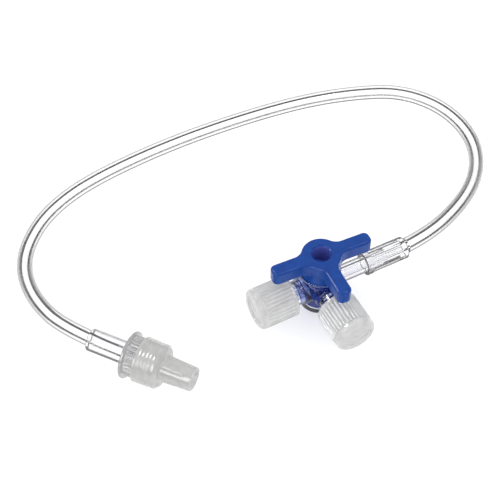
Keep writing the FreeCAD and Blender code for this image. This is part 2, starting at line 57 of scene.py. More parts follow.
# Radii of moulded edges, from sharp to broad
HAIR, CRISP, KEEN, FINE, SLIGHT, MILD, SOFT, FULL, BROAD = 0.03, 0.05, 0.08, 0.1, 0.12, 0.15, 0.2, 0.25, 0.3
# How close a face's centre comes to a wall that it belongs to
NEAR = 0.01
# Edges over this angle, in degrees, stay sharp
SHARP_ANGLE = 32
# Most values of a noise pattern lie between these
MIDDLE = (0.3, 0.7)

# Change of a radius by the place along the axis, the radius there and the angle round it
Relief = Callable[[float, float, float], float]
# Number of a face's finish by its centre
Sorter = Callable[[Vector], int]


class Slot(Enum):
    """Material slots of the record."""

    CLEAR = "clear_polycarbonate"
    FROSTED = "frosted_polypropylene"
    TUBE = "clear_soft_pvc"


class Body(Enum):
    """Bodies of the record that pieces ride on."""

    VALVE = "valve"
    INLINE_CAP = "inline_cap"
    SIDE_CAP = "side_cap"
    COLLAR = "collar"
    END_CAP = "end_cap"


class Heading(Enum):
    """Directions from the tap's axis, in degrees from +X."""

    OUTLET = 0
    INLINE = 180
    SIDE = -90


class Joint(Enum):
    """Ways to combine solids."""

    JOIN = "UNION"
    CUT = "DIFFERENCE"


def linear(shade: str) -> tuple[float, float, float, float]:
    """Turns an sRGB hex colour into a linear one.

    Args:
        shade: The colour as #RRGGBB.

    Returns:
        Red, green, blue and an alpha of 1.
    """
    parts = [int(shade[i:i + 2], 16) / 255 for i in (1, 3, 5)]
    bright = [p / 12.92 if p <= 0.04045 else ((p + 0.055) / 1.055) ** 2.4 for p in parts]
    return (*bright, 1.0)


def bounded(value: float) -> float:
    """Keeps a value between 0 and 1."""
    return min(1.0, max(0.0, value))


def add_node(tree: NodeTree, kind: str, settings: dict | None = None, links: dict | None = None) -> Node:
    """Adds a node with its settings and links.

    Args:
        tree: The tree that the node goes into.
        kind: The shader node's type.
        settings: Values by property name, or by the name or number of an input.
        links: What feeds its inputs, by their name or number: a socket, or a node for its first output.

    Returns:
        The new node.
    """
    node = tree.nodes.new("ShaderNode" + kind)
    for name, value in (settings or {}).items():
        if isinstance(name, int) or name in node.inputs:
            node.inputs[name].default_value = value
        else:
            setattr(node, name, value)
    for name, source in (links or {}).items():
        socket = source.outputs[0] if isinstance(source, Node) else source
        tree.links.new(socket, node.inputs[name])
    return node


def grain(tree: NodeTree, size: float, detail: float = 2.0) -> Node:
    """Gives a cloudy pattern whose grains have a real size.

    Args:
        tree: The tree that the pattern goes into.
        size: Width of a grain in millimetres.
        detail: How many finer octaves it has.

    Returns:
        The pattern, from 0 to 1.
    """
    place = add_node(tree, "TexCoord")
    return add_node(tree, "TexNoise", {"Scale": 1 / (size * MM), "Detail": detail},
                    {"Vector": place.outputs["Object"]})


def drift(tree: NodeTree, size: float, low: float = 0.0, high: float = 1.0, detail: float = 3.0) -> Node:
    """Gives a value that drifts between two levels, in grains of a real size."""
    span = {"From Min": MIDDLE[0], "From Max": MIDDLE[1], "To Min": low, "To Max": high}
    return add_node(tree, "MapRange", span, {"Value": grain(tree, size, detail)})


def ripples(tree: NodeTree, size: float, depth: float, under: Node | None = None) -> Node:
    """Gives a shallow relief whose grains have a real size.

    Args:
        tree: The tree that the relief goes into.
        size: Width of a grain in millimetres.
        depth: Depth of the relief in millimetres.
        under: A coarser relief below this one.

    Returns:
        The bent normal.
    """
    links = {"Height": grain(tree, size)}
    if under:
        links["Normal"] = under
    return add_node(tree, "Bump", {"Distance": depth * MM}, links)


def lit_through(tree: NodeTree, shader: Node, passed: str) -> Node:
    """Lets lamp light through a clear shader, so that what is under it is lit without caustic noise.

    Args:
        tree: The material's tree.
        shader: The shader that the eye sees.
        passed: Colour of the light that comes through.

    Returns:
        The mixed shader.
    """
    path = add_node(tree, "LightPath")
    either = add_node(tree, "Math", {"operation": "MAXIMUM"},
                      {0: path.outputs["Is Shadow Ray"], 1: path.outputs["Is Diffuse Ray"]})
    window = add_node(tree, "BsdfTransparent", {"Color": linear(passed)})
    return add_node(tree, "MixShader", links={0: either, 1: shader, 2: window})


@dataclass(frozen=True)
class Finish:
    """A finish that is named for its real material."""

    title: str

    def surface(self, tree: NodeTree) -> Node:
        """Builds the shader in the material's tree."""
        raise NotImplementedError

    def material(self) -> Material:
        """Builds the material.

        Returns:
            The material, with nothing but the finish's shader.
        """
        material = bpy.data.materials.new(self.title)
        material.use_nodes = True
        tree = material.node_tree
        tree.nodes.clear()
        add_node(tree, "OutputMaterial", links={"Surface": self.surface(tree)})
        return material


@dataclass(frozen=True)
class ClearMoulding(Finish):
    """Water clear thermoplastic with a polished skin: glassy, with a trace of haze, slow ripples and painted
    dark rims: faces seen at a slant take the rim colour and let less light through, a painted shade in place
    of the dark that thick edges refract.

    A mesh may carry an attribute that says how far its painted dark rims are spared.
    """

    tint: str
    # Colour of the painted dark rims
    rim: str
    passed: str = "#FDFDFE"
    ior: float = 1.586
    haze: tuple[float, float] = (0.0, 0.05)
    haze_grain: float = 1.5
    ripple_grain: float = 1.2
    ripple_depth: float = 0.002
    rim_start: float = 0.4
    rim_end: float = 0.7
    rim_body: float = 0.94
    from_inside: bool = False

    def surface(self, tree: NodeTree) -> Node:
        """Builds the shader.

        Args:
            tree: The material's tree.

        Returns:
            The shader.
        """
        ripple = ripples(tree, self.ripple_grain, self.ripple_depth)
        slant = add_node(tree, "LayerWeight", links={"Normal": ripple})
        # Painted shade: faces seen at a slant are darkened towards the rim colour and made less clear
        edge = add_node(tree, "MapRange", {"interpolation_type": "SMOOTHSTEP", "From Min": self.rim_start,
                                           "From Max": self.rim_end}, {"Value": slant.outputs["Facing"]})
        painted_shade_spared = add_node(tree, "Attribute", {"attribute_name": "painted_shade_spared"})
        share = add_node(tree, "Math", {"operation": "SUBTRACT", 0: 1.0}, {1: painted_shade_spared.outputs["Fac"]})
        rim = add_node(tree, "Math", {"operation": "MULTIPLY"}, {0: edge, 1: share})
        if self.from_inside:
            face = add_node(tree, "NewGeometry")
            rim = add_node(tree, "Math", {"operation": "MULTIPLY"},
                           {0: rim, 1: face.outputs["Backfacing"]})
        colour = add_node(tree, "Mix", {"data_type": "RGBA", 6: linear(self.tint), 7: linear(self.rim)},
                          {"Factor": rim})
        clearness = add_node(tree, "MapRange", {"To Min": 1.0, "To Max": 1 - self.rim_body},
                             {"Value": rim})
        plastic = add_node(tree, "BsdfPrincipled", {"IOR": self.ior},
                           {"Base Color": colour.outputs[2], "Transmission Weight": clearness,
                            "Roughness": drift(tree, self.haze_grain, *self.haze, detail=4.0),
                            "Normal": ripple})
        return lit_through(tree, plastic, self.passed)


@dataclass(frozen=True)
class FrostedMoulding(Finish):
    """Thermoplastic from a spark eroded mould: milky, with a fine matt grain and cloudy walls."""

    thin: str
    thick: str
    clearness: float
    roughness: tuple[float, float]
    cloud_grain: float
    matt_grain: float
    matt_depth: float
    ior: float = 1.49
    passed: str = "#FBFBFB"

    def surface(self, tree: NodeTree) -> Node:
        """Builds the shader.

        Args:
            tree: The material's tree.

        Returns:
            The shader.
        """
        colour = add_node(tree, "Mix", {"data_type": "RGBA", 6: linear(self.thin), 7: linear(self.thick)},
                          {"Factor": drift(tree, self.cloud_grain)})
        plastic = add_node(tree, "BsdfPrincipled",
                           {"IOR": self.ior, "Transmission Weight": self.clearness},
                           {"Base Color": colour.outputs[2],
                            "Roughness": drift(tree, self.matt_grain, *self.roughness, detail=2.0),
                            "Normal": ripples(tree, self.matt_grain, self.matt_depth)})
        return lit_through(tree, plastic, self.passed)


@dataclass(frozen=True)
class OpaqueMoulding(Finish):
    """Pigmented polyethylene: deep colour, waxy gloss, slow sink ripples and a fine skin grain."""

    deep: str = "#053682"
    bright: str = "#0A4091"
    painted_pocket_light: str = "#5560B4"
    ior: float = 1.54
    gloss: float = 0.2
    roughness: tuple[float, float] = (0.1, 0.16)
    waxiness: float = 0.12
    waxy_depth: float = 0.8
    waxy_reach: tuple[float, float, float] = (0.3, 0.6, 1.0)
    swirl_grain: float = 2.2
    sink_grain: float = 3.0
    sink_depth: float = 0.03
    skin_grain: float = 0.16
    skin_depth: float = 0.0012
    pocket_radius: float = 2.3
    pocket_edge: float = 0.1

    def surface(self, tree: NodeTree) -> Node:
        """Builds the shader; the pocket round the turning axis is painted a lighter, purpler blue: painted
        light and sheen in a recess that the lamps leave dark.

        Args:
            tree: The material's tree.

        Returns:
            The shader.
        """
        skin = add_node(tree, "Mix", {"data_type": "RGBA", 6: linear(self.deep), 7: linear(self.bright)},
                        {"Factor": drift(tree, self.swirl_grain)})
        # Painted light: the recess round the axis gets a lighter colour
        place = add_node(tree, "TexCoord")
        flat = add_node(tree, "VectorMath", {"operation": "MULTIPLY", 1: (1.0, 1.0, 0.0)},
                        {0: place.outputs["Object"]})
        reach = add_node(tree, "VectorMath", {"operation": "LENGTH"}, {0: flat})
        inside = add_node(tree, "MapRange",
                          {"From Min": (self.pocket_radius + self.pocket_edge) * MM,
                           "From Max": self.pocket_radius * MM}, {"Value": reach.outputs["Value"]})
        colour = add_node(tree, "Mix", {"data_type": "RGBA", 7: linear(self.painted_pocket_light)},
                          {"Factor": inside, 6: skin.outputs[2]})
        sink = ripples(tree, self.sink_grain, self.sink_depth)
        return add_node(tree, "BsdfPrincipled",
                        {"IOR": self.ior, "Specular IOR Level": self.gloss,
                         "Subsurface Weight": self.waxiness, "Subsurface Radius": self.waxy_reach,
                         "Subsurface Scale": self.waxy_depth * MM},
                        {"Base Color": colour.outputs[2],
                         "Roughness": drift(tree, self.skin_grain, *self.roughness, detail=2.0),
                         "Normal": ripples(tree, self.skin_grain, self.skin_depth, sink)})


@dataclass(frozen=True)
class BondedSeam(Finish):
    """Wetted faces inside a clear joint: glue or grease fills the gap, so the joint itself doesn't show; a
    tint other than white paints its colour onto what is seen through them.
    """

    tint: str

    def surface(self, tree: NodeTree) -> Node:
        """Builds the shader in the material's tree."""
        return add_node(tree, "BsdfTransparent", {"Color": linear(self.tint)})


@dataclass(frozen=True)
class StudioPaper(Finish):
    """Matt white paper under the object: plain, with faint flecks of fibre."""

    shade: str = "#FDFDFD"
    fleck: str = "#FAFAFA"
    fibre_grain: float = 0.6
    roughness: float = 0.9
    gloss: float = 0.1

    def surface(self, tree: NodeTree) -> Node:
        """Builds the shader.

        Args:
            tree: The material's tree.

        Returns:
            The shader.
        """
        colour = add_node(tree, "Mix", {"data_type": "RGBA", 6: linear(self.shade), 7: linear(self.fleck)},
                          {"Factor": drift(tree, self.fibre_grain, detail=4.0)})
        return add_node(tree, "BsdfPrincipled",
                        {"Roughness": self.roughness, "Specular IOR Level": self.gloss},
                        {"Base Color": colour.outputs[2]})


# Polycarbonate, injection moulded and polished: the glassiest of the four plastics, with thin painted dark
# rims
CLEAR_MOULDING = ClearMoulding("polycarbonate_moulded_clear", "#F6F6F9", "#2E3034")
# The same in the thick walls of the tube's two sockets: bolder painted dark edges
SLEEVE = ClearMoulding("polycarbonate_moulded_socket", "#F2F2F4", "#1C1E20", ripple_depth=0.001,
                       rim_start=0.32, rim_end=0.54, rim_body=0.97)
# The same on the foot's wall, with broad painted dark rims: a painted shade for the dark that the thick ring
# holds
FOOT_WALL = ClearMoulding("polycarbonate_moulded_foot", "#FDFDFE", "#1A1C22", "#FCFCFD", haze=(0.02, 0.08),
                          rim_start=0.18, rim_end=0.32, rim_body=0.88)
# The same on the barrel's wall and the ports' roots, tinted blue: the core's blue painted into the wall,
# standing in for the core seen through it
CORE_WALL = ClearMoulding("polycarbonate_moulded_core_wall", "#5667B0", "#10152A", haze=(0.08, 0.14),
                          rim_start=0.5, rim_end=0.8)
# Plasticised PVC, extruded: softer surface, a little more haze along it, and painted dark rims
TUBE_SKIN = ClearMoulding("pvc_extruded_clear", "#FDFDFD", "#222426", "#FDFDFD", ior=1.53, haze=(0.0, 0.04),
                          haze_grain=2.5, ripple_grain=2.0, ripple_depth=0.001, rim_start=0.34, rim_end=0.56,
                          rim_body=0.96)
# The same on the tube's bore, seen only from inside the wall: its painted dark lines are the boldest,
# standing in for light that turns back sharply there
TUBE_BORE = replace(TUBE_SKIN, title="pvc_extruded_clear_bore", rim_start=0.15, rim_end=0.25,
                    from_inside=True)
# Natural polypropylene: light comes through it grey and blurred
FROSTED_MOULDING = FrostedMoulding("polypropylene_moulded_frosted", "#DADAD9", "#C7C7C6", 0.5, (0.08, 0.14),
                                   cloud_grain=2.4, matt_grain=0.3, matt_depth=0.0004)
# The luer cap's thicker walls: the same plastic, greyer and glossier
THICK_FROSTED = FrostedMoulding("polypropylene_moulded_thick", "#C5C5C4", "#B5B5B4", 0.4, (0.08, 0.15),
                                cloud_grain=2.0, matt_grain=0.3, matt_depth=0.0005)
# Polycarbonate from a fine textured mould: almost clear, but its ribs keep some light
SATIN_CLEAR = FrostedMoulding("polycarbonate_moulded_satin", "#C5C5C5", "#ACACAD", 0.65, (0.06, 0.12),
                              cloud_grain=1.5, matt_grain=0.25, matt_depth=0.0005, ior=1.586)
# Blue polyethylene: waxy, with soft reflections
BLUE_MOULDING = OpaqueMoulding("polyethylene_moulded_blue")
# Solvent bonded or greased: colourless
BONDED = BondedSeam("bonded_seam", "#FFFFFF")
# The channels beside the core, painted with the core's blue: a painted reflection of the core
CORE_BLUE_PAINTED = BondedSeam("channel_painted_core_blue", "#5C7CC4")
PAPER = StudioPaper("paper_matt_white")


@dataclass(frozen=True)
class Corner:
    """A corner of a turned outline: ease rounds it, and relief changes the radius up to the next one."""

    along: float
    radius: float
    ease: float = 0.0
    relief: Relief | None = None

    @property
    def place(self) -> Vector:
        """The corner as a flat vector."""
        return Vector((self.along, self.radius))


@dataclass
class Turning:
    """A piece turned round the X axis from an outline, which is closed unless both its ends lie on the axis.

    It has so many steps round the axis, and faces of the given spacing along a stretch with relief.
    """

    corners: list[Corner]
    steps: int = 240
    spacing: float = 0.25
    arc_steps: int = 6
    on_axis: float = 1e-9

    def eased(self, before: Vector, corner: Corner, after: Vector) -> list[Vector]:
        """Rounds one corner by an arc.

        Args:
            before: The place of the corner before it.
            corner: The corner.
            after: The place of the corner after it.

        Returns:
            The arc's points.
        """
        place = corner.place
        back = (before - place).normalized()
        ahead = (after - place).normalized()
        turn = math.pi - back.angle(ahead)
        centre = place + (back + ahead).normalized() * (corner.ease / math.cos(turn / 2))
        arm = place + back * corner.ease * math.tan(turn / 2) - centre
        side = math.copysign(1.0, back.x * ahead.y - back.y * ahead.x)
        angles = [-side * turn * i / self.arc_steps for i in range(self.arc_steps + 1)]
        return [centre + Matrix.Rotation(angle, 2) @ arm for angle in angles]

    def outline(self) -> list[tuple[Vector, Relief | None]]:
        """Lays out the outline.

        Returns:
            Its points, each with the relief of the stretch that it lies in.
        """
        count = len(self.corners)
        arcs = []
        for i, corner in enumerate(self.corners):
            before = self.corners[i - 1].place
            after = self.corners[(i + 1) % count].place
            arcs.append(self.eased(before, corner, after) if corner.ease else [corner.place])
        points = []
        for i, corner in enumerate(self.corners):
            points += [(point, None) for point in arcs[i]]
            if corner.relief:
                first, last = arcs[i][-1], arcs[(i + 1) % count][0]
                parts = max(2, round((last - first).length / self.spacing))
                points += [(first.lerp(last, k / parts), corner.relief) for k in range(1, parts)]
        return points

    def mesh(self, name: str, place: Matrix) -> Mesh:
        """Builds the mesh.

        Args:
            name: The mesh's name.
            place: Where the piece lies, in millimetres.

        Returns:
            A closed mesh in metres.
        """
        body = bmesh.new()
        rings = []
        for (along, radius), relief in self.outline():
            if radius < self.on_axis:
                rings.append([body.verts.new((along, 0, 0))])
                continue
            ring = []
            for k in range(self.steps):
                angle = 2 * math.pi * k / self.steps
                reach = radius + (relief(along, radius, angle) if relief else 0.0)
                ring.append(body.verts.new((along, reach * math.cos(angle), reach * math.sin(angle))))
            rings.append(ring)
        pairs = list(zip(rings, rings[1:]))
        if self.corners[0].radius or self.corners[-1].radius:
            pairs.append((rings[-1], rings[0]))
        for one, other in pairs:
            for k in range(self.steps):
                after = (k + 1) % self.steps
                corners = [one[k % len(one)], one[after % len(one)], other[after % len(other)],
                           other[k % len(other)]]
                body.faces.new(list(dict.fromkeys(corners)))
        bmesh.ops.recalc_face_normals(body, faces=body.faces)
        mesh = bpy.data.meshes.new(name)
        body.transform(Matrix.Scale(MM, 4) @ place)
        body.to_mesh(mesh)
        body.free()
        return mesh


def placed(name: str, data: ID) -> Object:
    """Puts a new object into the scene.

    Args:
        name: Its name.
        data: Its mesh, curve, light or camera.

    Returns:
        The object.
    """
    thing = bpy.data.objects.new(name, data)
    bpy.context.scene.collection.objects.link(thing)
    return thing


def shown(name: str, mesh: Mesh, body: Body, slot: Slot, finishes: list[Material],
          replaced: str, finish_of: Sorter | None = None) -> Object:
    """Shows a mesh in place of a node.

    Args:
        name: The piece's name.
        mesh: Its mesh, in metres.
        body: The body that it rides on.
        slot: The record's slot that its finish stands for; not used.
        finishes: Its materials.
        replaced: The node that it stands for.
        finish_of: Tells which of the finishes a face has, by its centre.

    Returns:
        The new object.
    """
    mesh.shade_smooth()
    mesh.set_sharp_from_angle(angle=math.radians(SHARP_ANGLE))
    for finish in finishes:
        mesh.materials.append(finish)
    if finish_of:
        for face in mesh.polygons:
            face.material_index = finish_of(face.center / MM)
    piece = placed(name, mesh)
    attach(piece, body.value)
    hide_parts(replaced)
    LOG.info("%s: %d faces", name, len(mesh.polygons))
    return piece


def dress(node: str, finish: Material) -> None:
    """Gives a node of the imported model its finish.

    Args:
        node: The node's name.
        finish: Its material.
    """
    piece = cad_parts[node]
    for slot in piece.material_slots:
        slot.material = finish
    LOG.info("%s: %d faces, as packed", node, len(piece.data.polygons))


@dataclass(frozen=True)
class Flutes:
    """Round flutes along the axis: their number, their section's radius, their depth and their run-out."""

    count: int
    section: float
    depth: float
    fade: float

    def cut(self, start: float, end: float) -> Relief:
        """Cuts the flutes.

        Args:
            start: Where they start along the axis.
            end: Where they end.

        Returns:
            Their relief.
        """
        pitch = 2 * math.pi / self.count

        def relief(along: float, radius: float, angle: float) -> float:
            """Gives the change of radius at a place.

            Args:
                along: Where it is along the axis.
                radius: The outline's radius there.
                angle: The angle round the axis.

            Returns:
                The change, which is never positive.
            """
            off = (angle + pitch / 2) % pitch - pitch / 2
            centre = radius + self.section - self.depth
            inside = self.section ** 2 - (centre * math.sin(off)) ** 2
            if inside <= 0:
                return 0.0
            cut = min(0.0, centre * math.cos(off) - math.sqrt(inside) - radius)
            share = bounded(min(along - start, end - along) / self.fade)
            return cut * share * share * (3 - 2 * share)

        return relief


@dataclass(frozen=True)
class Thread:
    """A right handed thread inside a bore: how far it stands in, the advance of a turn, and its starts."""

    rise: float
    lead: float = 5.0
    starts: int = 2

    def cut(self, start: float, end: float) -> Relief:
        """Cuts the thread.

        Args:
            start: Where it starts along the axis.
            end: Where it ends.

        Returns:
            Its relief.
        """

        def relief(along: float, _: float, angle: float) -> float:
            """Gives the change of radius."""
            wave = math.cos(self.starts * (angle - 2 * math.pi * along / self.lead))
            return -self.rise * bounded(min(along - start, end - along)) * max(0.0, wave) ** 2

        return relief


def combined(base: Mesh, others: list[Mesh], joint: Joint) -> Mesh:
    """Joins closed meshes to a first one, or cuts them out of it.

    Args:
        base: The first mesh.
        others: The meshes that join or cut it.
        joint: Whether they join or cut.

    Returns:
        The resulting mesh, without materials.
    """
    block = placed(base.name, base)
    tools = [placed(other.name, other) for other in others]
    for tool in tools:
        step = block.modifiers.new(tool.name, "BOOLEAN")
        step.solver = "MANIFOLD"
        step.operation = joint.value
        step.object = tool
    graph = bpy.context.evaluated_depsgraph_get()
    result = bpy.data.meshes.new_from_object(block.evaluated_get(graph))
    result.materials.clear()
    for tool in [block, *tools]:
        bpy.data.objects.remove(tool)
    return result


@dataclass
class Fits:
    """Sizes that the pieces share where they meet."""

    port_height: float = 6.2
    port_mouth: float = 16.6
    spigot_radius: float = 2.25
    spigot_end: float = 17.8
    bond_start: float = 12.9
    bond_gap: float = 0.05
    flow_radius: float = 1.2
    luer_slope: float = 0.03
    tube_radius: float = 2.05

    def outwards(self, heading: Heading) -> Matrix:
        """Points a turned piece outwards from the tap's axis, at the ports' height."""
        turn = Matrix.Rotation(math.radians(heading.value), 4, "Z")
        return Matrix.Translation((0, 0, self.port_height)) @ turn


@dataclass
class Housing(Fits):
    """The stopcock's clear body: a barrel with foot, bead and rim, two luer ports and the spigot."""

    barrel_radius: float = 4.55
    barrel_height: float = 11.7
    foot_radius: float = 4.95
    foot_height: float = 1.8
    rim_radius: float = 5.25
    rim_height: float = 0.9
    bead_radius: float = 4.95
    bead_height: float = 0.6
    bead_drop: float = 0.9
    core_top: float = 3.48
    core_foot: float = 3.13
    snap_radius: float = 3.95
    snap_height: float = 1.3
    port_radius: float = 3.2
    root_radius: float = 3.7
    root_length: float = 5.6
    root_reach: float = 8.7
    lug_rise: float = 0.68
    lug_width: float = 1.6
    lug_angle: float = 96.0
    luer_depth: float = 8.0
    luer_mouth: float = 2.15
    over: float = 1.0
    barrel_steps: int = 160
    port_steps: int = 120

    @property
    def upright(self) -> Matrix:
        """Turns a piece's X axis upright."""
        return Matrix.Rotation(math.radians(-90), 4, "Y")

    def lugs(self, _: float, __: float, angle: float) -> float:
        """Gives the rise of the two locking lugs, one on each side of a port."""
        inside = abs(math.sin(angle)) < math.sin(math.radians(self.lug_angle / 2))
        return self.lug_rise if inside else 0.0

    def barrel(self) -> Mesh:
        """Builds the barrel.

        Returns:
            A solid.
        """
        rim = self.barrel_height - self.rim_height
        bead = rim - self.bead_drop
        corners = [
            Corner(0, 0.0), Corner(0, self.foot_radius, SOFT),
            Corner(self.foot_height, self.foot_radius, SOFT),
            Corner(self.foot_height, self.barrel_radius, FINE),
            Corner(bead - self.bead_height, self.barrel_radius, FINE),
            Corner(bead - self.bead_height, self.bead_radius, SOFT), Corner(bead, self.bead_radius, SOFT),
            Corner(bead, self.barrel_radius, FINE), Corner(rim, self.barrel_radius, FINE),
            Corner(rim, self.rim_radius, SOFT), Corner(self.barrel_height, self.rim_radius, SOFT),
            Corner(self.barrel_height, 0.0),
        ]
        return Turning(corners, self.barrel_steps).mesh("barrel", self.upright)

    def port(self, heading: Heading) -> Mesh:
        """Builds one luer port.

        Args:
            heading: Its direction.

        Returns:
            A solid.
        """
        corners = [
            Corner(-self.over, 0.0), Corner(-self.over, self.root_radius),
            Corner(self.root_length, self.root_radius, SOFT),
            Corner(self.root_length, self.port_radius, SOFT),
            Corner(self.port_mouth - self.lug_width, self.port_radius, 0, self.lugs),
            Corner(self.port_mouth, self.port_radius), Corner(self.port_mouth, 0.0),
        ]
        return Turning(corners, self.port_steps).mesh("port", self.outwards(heading))

    def spigot(self) -> Mesh:
        """Builds the spigot.

        Returns:
            A solid.
        """
        corners = [Corner(-self.over, 0.0), Corner(-self.over, self.spigot_radius),
                   Corner(self.bond_start, self.spigot_radius),
                   Corner(self.spigot_end, self.spigot_radius, SOFT), Corner(self.spigot_end, 0.0)]
        return Turning(corners, self.port_steps).mesh("spigot", self.outwards(Heading.OUTLET))

    def core_room(self, height: float) -> float:
        """Gives the radius of the core's taper at a height."""
        share = (height - self.snap_height) / (self.barrel_height - self.snap_height)
        return self.core_foot + (self.core_top - self.core_foot) * share

    def cuts(self) -> list[Mesh]:
        """Builds the hollows.

        Returns:
            The core's taper, the two luer cones with their channels and the spigot's channel, as solids.
        """
        top = self.barrel_height + self.over
        core = [Corner(-self.over, 0.0), Corner(-self.over, self.snap_radius),
                Corner(self.snap_height, self.snap_radius), Corner(self.snap_height, self.core_foot),
                Corner(top, self.core_room(top)), Corner(top, 0.0)]
        floor = self.port_mouth - self.luer_depth
        out = self.port_mouth + self.over
        bore = [Corner(self.over, 0.0), Corner(self.over, self.flow_radius), Corner(floor, self.flow_radius),
                Corner(floor, self.luer_mouth - self.luer_slope * self.luer_depth),
                Corner(out, self.luer_mouth + self.luer_slope * self.over), Corner(out, 0.0)]
        end = self.spigot_end + self.over
        channel = [Corner(self.over, 0.0), Corner(self.over, self.flow_radius),
                   Corner(end, self.flow_radius), Corner(end, 0.0)]
        return [
            Turning(core, self.barrel_steps).mesh("core_room", self.upright),
            Turning(bore, self.port_steps).mesh("inline_bore", self.outwards(Heading.INLINE)),
            Turning(bore, self.port_steps).mesh("side_bore", self.outwards(Heading.SIDE)),
            Turning(channel, self.port_steps).mesh("channel", self.outwards(Heading.OUTLET)),
        ]

    def finish_of(self, place: Vector) -> int:
        """Tells which finish a face has.

        Args:
            place: The face's centre.

        Returns:
            0 for the plain skin, 1 for the greased or glued faces (round the core, along the ports'
            channels and on the spigot's end), 2 for the wall of the foot, with its broad painted dark rims,
            3 for the channels beside the core, painted with the core's blue, 4 for the wall round the core,
            tinted with the core's blue as a painted view of the core through it.
        """
        reach = math.hypot(place.x, place.y)
        beside_taper = abs(reach - self.core_room(place.z)) < 2 * NEAR
        if self.snap_height < place.z < self.barrel_height and beside_taper:
            return 1
        rise = place.z - self.port_height
        if place.x > self.bond_start and math.hypot(place.y, rise) > self.flow_radius + NEAR:
            return 1
        floor = self.port_mouth - self.luer_depth
        for along, across in ((-place.x, place.y), (-place.y, place.x)):
            if self.over < along < floor and math.hypot(across, rise) < self.flow_radius + NEAR:
                return 3 if along < self.root_length else 1
        if place.z < self.foot_height and reach > self.barrel_radius + SOFT:
            return 2
        beside_core = self.foot_height < place.z < self.barrel_height - self.rim_height
        if beside_core and reach < self.root_reach and place.x < self.barrel_radius:
            return 4
        return 0

    def build(self, finishes: list[Material]) -> Object:
        """Builds the housing; the core shows through the seam round it.

        Args:
            finishes: Its materials, in the order of finish_of.

        Returns:
            The housing.
        """
        parts = [self.port(Heading.INLINE), self.port(Heading.SIDE), self.spigot()]
        mesh = combined(combined(self.barrel(), parts, Joint.JOIN), self.cuts(), Joint.CUT)
        return shown("stopcock_housing", mesh, Body.VALVE, Slot.CLEAR, finishes, "stopcock_body",
                     self.finish_of)


@dataclass
class PortCap(Fits):
    """A fluted screw cap on a luer port, with a sealing pin inside and a ring and a mark in its end."""

    start: float = 8.4
    end: float = 18.5
    radius: float = 5.32
    bore: float = 4.1
    end_round: float = 0.9
    rim: float = 0.5
    band: float = 1.5
    pin_radius: float = 2.1
    pin_length: float = 5.5
    flutes: Flutes = Flutes(36, 0.48, 0.36, 0.5)
    flute_faces: int = 12
    dish_radius: float = 3.7
    dish_depth: float = 0.45
    ring_radius: float = 2.4
    ring_width: float = 0.35
    mark_radius: float = 0.35
    mark_rise: float = 0.08
    thread: Thread = Thread(0.14)

    def build(self, node: str, heading: Heading, body: Body, finish: Material) -> Object:
        """Builds one port cap.

        Args:
            node: The node that the cap stands for.
            heading: Direction of its port.
            body: The body that it rides on.
            finish: Its material.

        Returns:
            The cap.
        """
        floor = self.port_mouth + self.bond_gap
        tip = floor - self.pin_length
        dish = self.end - self.dish_depth
        raised = dish + self.mark_rise
        grip = self.flutes.cut(self.start + self.rim, self.end - self.band)
        screw = self.thread.cut(self.start + self.rim, floor)
        corners = [
            Corner(tip, 0.0), Corner(tip, self.pin_radius - self.luer_slope * self.pin_length, SOFT),
            Corner(floor, self.pin_radius, MILD), Corner(floor, self.bore, SOFT, screw),
            Corner(self.start, self.bore, MILD), Corner(self.start, self.radius, BROAD, grip),
            Corner(self.end, self.radius, self.end_round), Corner(self.end, self.dish_radius, SLIGHT),
            Corner(dish, self.dish_radius, SLIGHT), Corner(dish, self.ring_radius + self.ring_width, HAIR),
            Corner(raised, self.ring_radius + self.ring_width / 2, HAIR),
            Corner(dish, self.ring_radius, HAIR), Corner(dish, self.mark_radius * 2, CRISP),
            Corner(raised, self.mark_radius, CRISP), Corner(raised, 0.0),
        ]
        mesh = Turning(corners, self.flute_faces * self.flutes.count).mesh(node, self.outwards(heading))
        return shown(node + "_fluted", mesh, body, Slot.FROSTED, [finish], node)


@dataclass
class Adapter(Fits):
    """The clear fluted sleeve between the spigot and the tube."""

    end: float = 24.9
    radius: float = 2.95
    ring_radius: float = 3.1
    ring_width: float = 1.5
    web: float = 1.2
    band: float = 1.3
    flutes: Flutes = Flutes(10, 0.9, 0.22, 0.4)
    steps: int = 320

    def finish_of(self, place: Vector) -> int:
        """Tells which finish a face has.

        Args:
            place: The face's centre.

        Returns:
            0 for the skin, 1 for the faces that are glued to the spigot or the tube.
        """
        radius = math.hypot(place.y, place.z - self.port_height)
        within = self.bond_start + FINE < place.x < self.end - FINE
        return int(within and self.flow_radius + NEAR < radius < self.spigot_radius + self.bond_gap + NEAR)

    def build(self, finishes: list[Material]) -> Object:
        """Builds the adapter.

        Args:
            finishes: The materials of its skin and its glue.

        Returns:
            The adapter.
        """
        stop = self.spigot_end + self.bond_gap
        seat = self.spigot_radius + self.bond_gap
        hole = self.tube_radius + self.bond_gap
        ring_end = self.bond_start + self.ring_width
        grip = self.flutes.cut(ring_end, self.end - self.band)
        corners = [
            Corner(self.bond_start, seat, CRISP), Corner(self.bond_start, self.ring_radius, SOFT),
            Corner(ring_end, self.ring_radius, KEEN), Corner(ring_end, self.radius, CRISP, grip),
            Corner(self.end, self.radius, SOFT), Corner(self.end, hole, FINE),
            Corner(stop + self.web, hole), Corner(stop + self.web, self.flow_radius),
            Corner(stop, self.flow_radius), Corner(stop, seat),
        ]
        mesh = Turning(corners, self.steps).mesh("tube_adapter", self.outwards(Heading.OUTLET))
        return shown("tube_adapter_sleeve", mesh, Body.VALVE, Slot.CLEAR, finishes, "tube_adapter",
                     self.finish_of)


